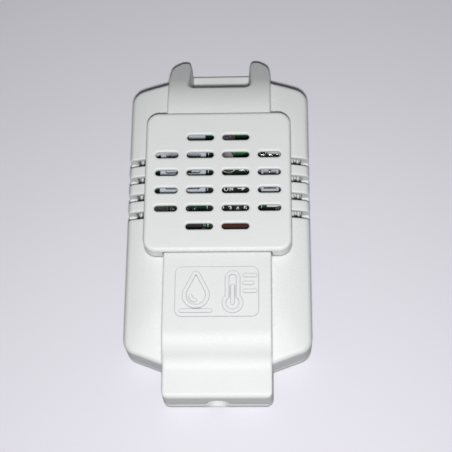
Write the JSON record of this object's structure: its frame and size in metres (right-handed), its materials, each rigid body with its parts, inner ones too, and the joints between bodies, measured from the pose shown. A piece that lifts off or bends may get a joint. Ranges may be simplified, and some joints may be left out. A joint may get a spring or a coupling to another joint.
{
  "type": "temperature humidity sensor",
  "caption": "Wall sensor for air temperature and humidity: pale two-part case with raised band, louvred panel, ears and cable hole, with a wired board inside.",
  "frame": {"origin": "middle of the back face, under the centre of the overall box", "axes": "+X across the case to the right seen from the front, +Y along the case towards the ears, +Z out of the wall"},
  "size_m": [0.06, 0.1208, 0.02],
  "materials": {
    "case_plastic": "fine moulded grain",
    "panel_plastic": "fine moulded grain",
    "board": "green solder mask",
    "screw_steel": "zinc plated",
    "terminal_plastic": "satin",
    "tinned_metal": "tinned",
    "clamp_brass": "plated",
    "switch_plastic": "satin",
    "slider_plastic": "satin",
    "sensor_plastic": "satin",
    "chip_plastic": "moulded epoxy",
    "can_metal": "satin",
    "sleeve_plastic": "shrink sleeve",
    "film_plastic": "dipped",
    "ferrite": "sintered",
    "lamp_lens": "clear",
    "connector_plastic": "satin",
    "resistor_body": "glazed",
    "capacitor_body": "matt"
  },
  "bodies": {
    "base": {"rear_case": "case_plastic", "main_board": "board", "board_screws": "screw_steel", "terminal_housing": "terminal_plastic", "terminal_pins": "tinned_metal", "switch_body": "switch_plastic", "sensor_shell": "sensor_plastic", "sensor_base": "sensor_plastic", "sensor_chip": "chip_plastic", "sensor_pins": "tinned_metal", "connector_housing": "connector_plastic", "connector_pins": "tinned_metal", "controller": "chip_plastic", "controller_leads": "tinned_metal", "line_driver": "chip_plastic", "driver_leads": "tinned_metal", "regulator": "chip_plastic", "regulator_leads": "tinned_metal", "crystal": "can_metal", "electrolytic_capacitors": "sleeve_plastic", "film_capacitor": "film_plastic", "power_choke": "ferrite", "status_lamp": "lamp_lens", "chip_resistors": "resistor_body", "chip_capacitors": "capacitor_body"},
    "cover": {"front_cover": "case_plastic", "vent_panel": "panel_plastic"},
    "slider_1": {"switch_slider_1": "slider_plastic"},
    "slider_2": {"switch_slider_2": "slider_plastic"},
    "slider_3": {"switch_slider_3": "slider_plastic"},
    "slider_4": {"switch_slider_4": "slider_plastic"},
    "slider_5": {"switch_slider_5": "slider_plastic"},
    "slider_6": {"switch_slider_6": "slider_plastic"},
    "screw_1": {"terminal_screw_1": "screw_steel"},
    "screw_2": {"terminal_screw_2": "screw_steel"},
    "screw_3": {"terminal_screw_3": "screw_steel"},
    "screw_4": {"terminal_screw_4": "screw_steel"},
    "clamp_1": {"terminal_clamp_1": "clamp_brass"},
    "clamp_2": {"terminal_clamp_2": "clamp_brass"},
    "clamp_3": {"terminal_clamp_3": "clamp_brass"},
    "clamp_4": {"terminal_clamp_4": "clamp_brass"}
  },
  "joints": [
    {"name": "cover_lift", "type": "slide", "parent": "base", "child": "cover", "axis": [0, 0, 1], "range_m": [0, 0.03]},
    {"name": "slider_1_slide", "type": "slide", "parent": "base", "child": "slider_1", "axis": [0, 1, 0], "range_m": [0, 0.002]},
    {"name": "slider_2_slide", "type": "slide", "parent": "base", "child": "slider_2", "axis": [0, 1, 0], "range_m": [0, 0.002]},
    {"name": "slider_3_slide", "type": "slide", "parent": "base", "child": "slider_3", "axis": [0, 1, 0], "range_m": [0, 0.002]},
    {"name": "slider_4_slide", "type": "slide", "parent": "base", "child": "slider_4", "axis": [0, 1, 0], "range_m": [0, 0.002]},
    {"name": "slider_5_slide", "type": "slide", "parent": "base", "child": "slider_5", "axis": [0, 1, 0], "range_m": [0, 0.002]},
    {"name": "slider_6_slide", "type": "slide", "parent": "base", "child": "slider_6", "axis": [0, 1, 0], "range_m": [0, 0.002]},
    {"name": "screw_1_turn", "type": "hinge", "parent": "base", "child": "screw_1", "pos_m": [-0.00762, -0.0298, 0.0138], "axis": [0, 0, -1], "range_deg": [0, 1201]},
    {"name": "screw_2_turn", "type": "hinge", "parent": "base", "child": "screw_2", "pos_m": [-0.00254, -0.0298, 0.0138], "axis": [0, 0, -1], "range_deg": [0, 1201]},
    {"name": "screw_3_turn", "type": "hinge", "parent": "base", "child": "screw_3", "pos_m": [0.00254, -0.0298, 0.0138], "axis": [0, 0, -1], "range_deg": [0, 1201]},
    {"name": "screw_4_turn", "type": "hinge", "parent": "base", "child": "screw_4", "pos_m": [0.00762, -0.0298, 0.0138], "axis": [0, 0, -1], "range_deg": [0, 1201]},
    {"name": "clamp_1_rise", "type": "slide", "parent": "base", "child": "clamp_1", "axis": [0, 0, 1], "range_m": [0, 0.0015]},
    {"name": "clamp_2_rise", "type": "slide", "parent": "base", "child": "clamp_2", "axis": [0, 0, 1], "range_m": [0, 0.0015]},
    {"name": "clamp_3_rise", "type": "slide", "parent": "base", "child": "clamp_3", "axis": [0, 0, 1], "range_m": [0, 0.0015]},
    {"name": "clamp_4_rise", "type": "slide", "parent": "base", "child": "clamp_4", "axis": [0, 0, 1], "range_m": [0, 0.0015]}
  ],
  "couplings": [
    {"joint": "screw_1_turn", "follows": "clamp_1_rise", "rad_per_m": 13963},
    {"joint": "screw_2_turn", "follows": "clamp_2_rise", "rad_per_m": 13963},
    {"joint": "screw_3_turn", "follows": "clamp_3_rise", "rad_per_m": 13963},
    {"joint": "screw_4_turn", "follows": "clamp_4_rise", "rad_per_m": 13963}
  ]
}
